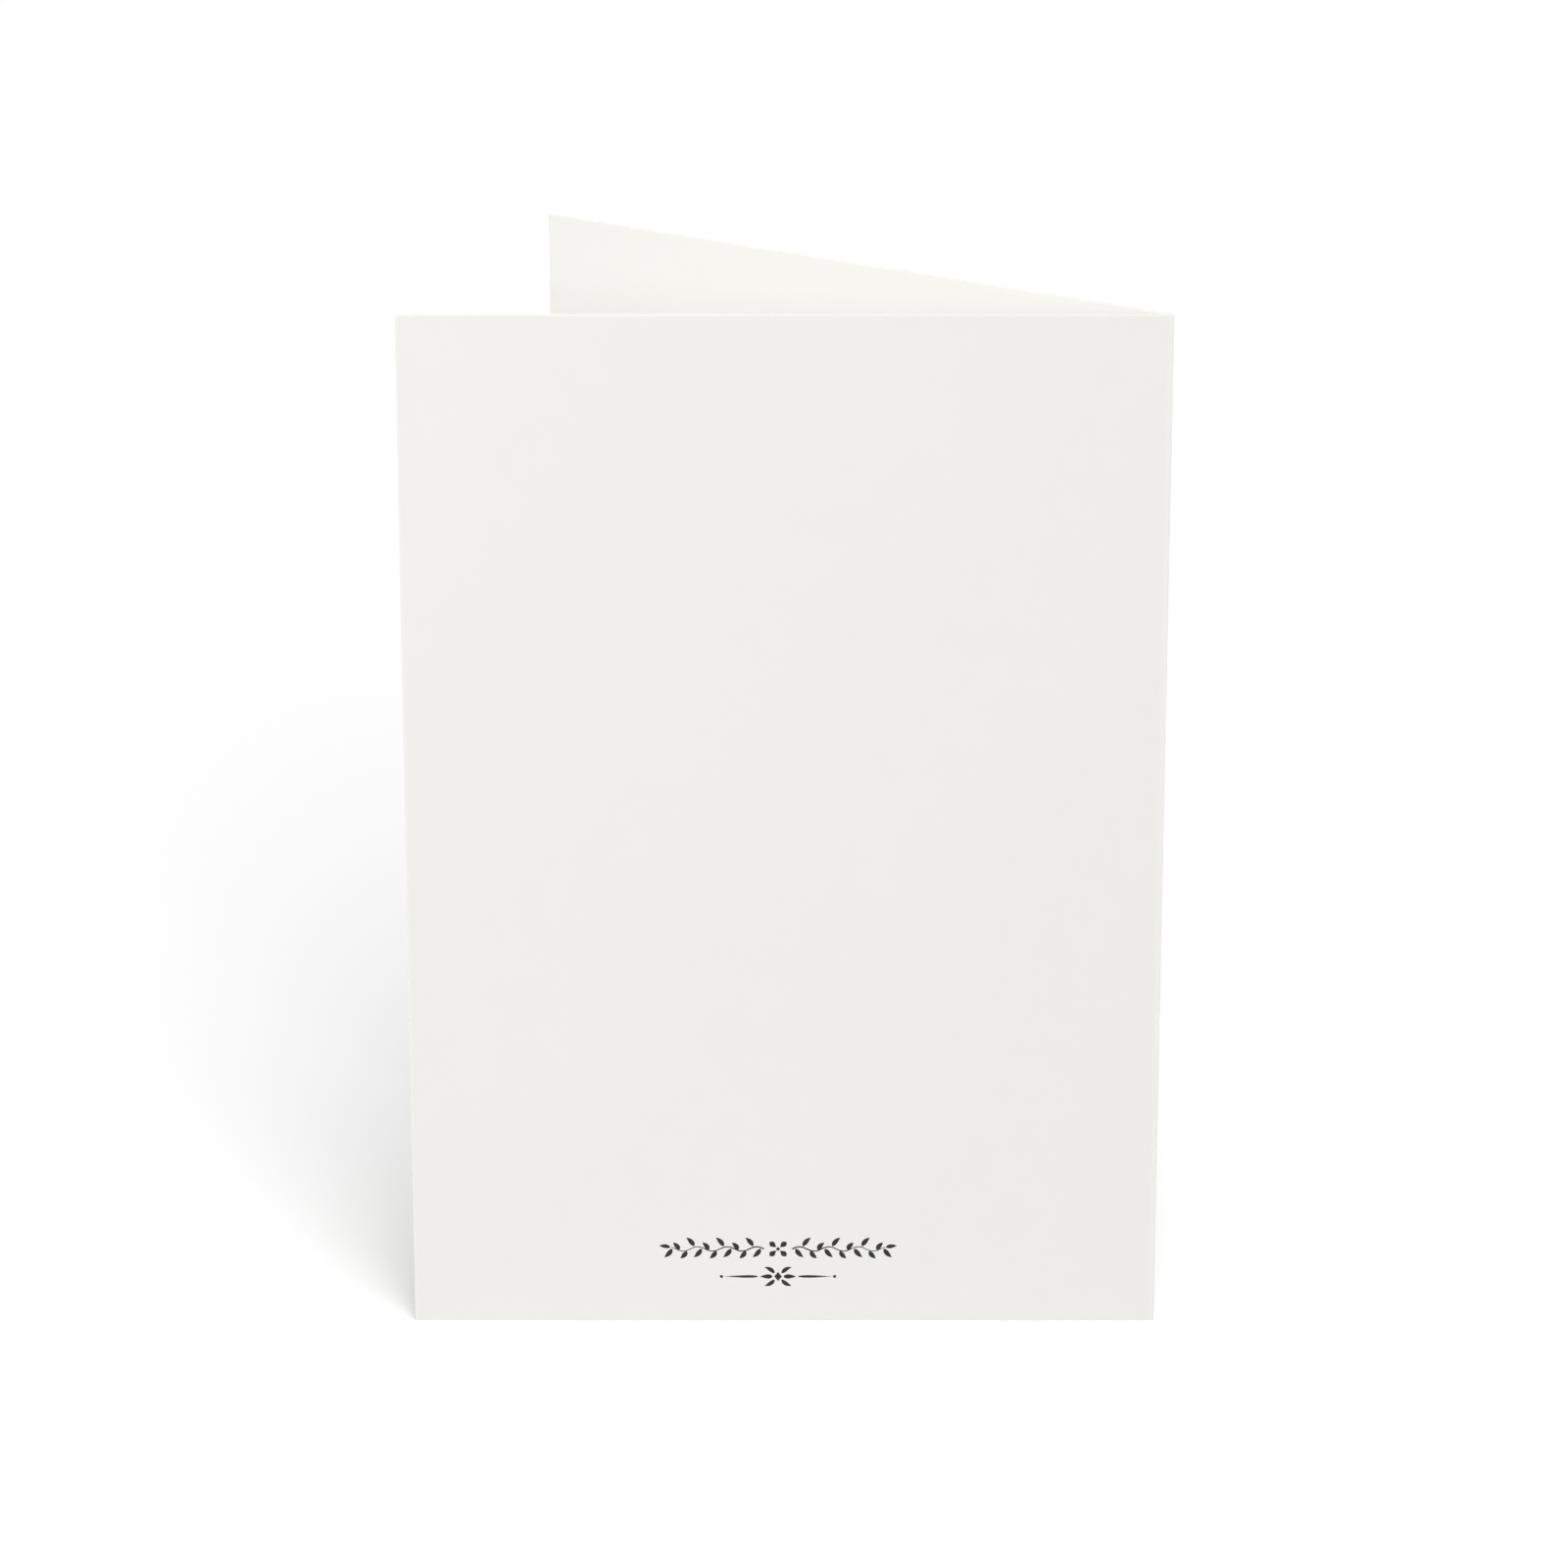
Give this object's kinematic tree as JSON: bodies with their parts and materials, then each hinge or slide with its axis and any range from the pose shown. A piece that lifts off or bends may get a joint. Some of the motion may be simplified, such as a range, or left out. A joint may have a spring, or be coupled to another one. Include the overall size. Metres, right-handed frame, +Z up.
{
  "type": "greeting card",
  "caption": "Folded greeting card of plain card stock, standing open like a narrow V on its lower edges, with its fold upright.",
  "frame": {"origin": "foot of the fold line, on the surface that the card stands on", "axes": "+Z up the fold, -X from the fold along the back panel to its free edge, -Y out of the back panel's outer face; the front panel opens from it towards +Y"},
  "size_m": [0.127, 0.0728, 0.1778],
  "materials": {
    "card_stock": "matte",
    "ink": "matte"
  },
  "bodies": {
    "root": {"folded_card": "card_stock"}
  },
  "joints": []
}
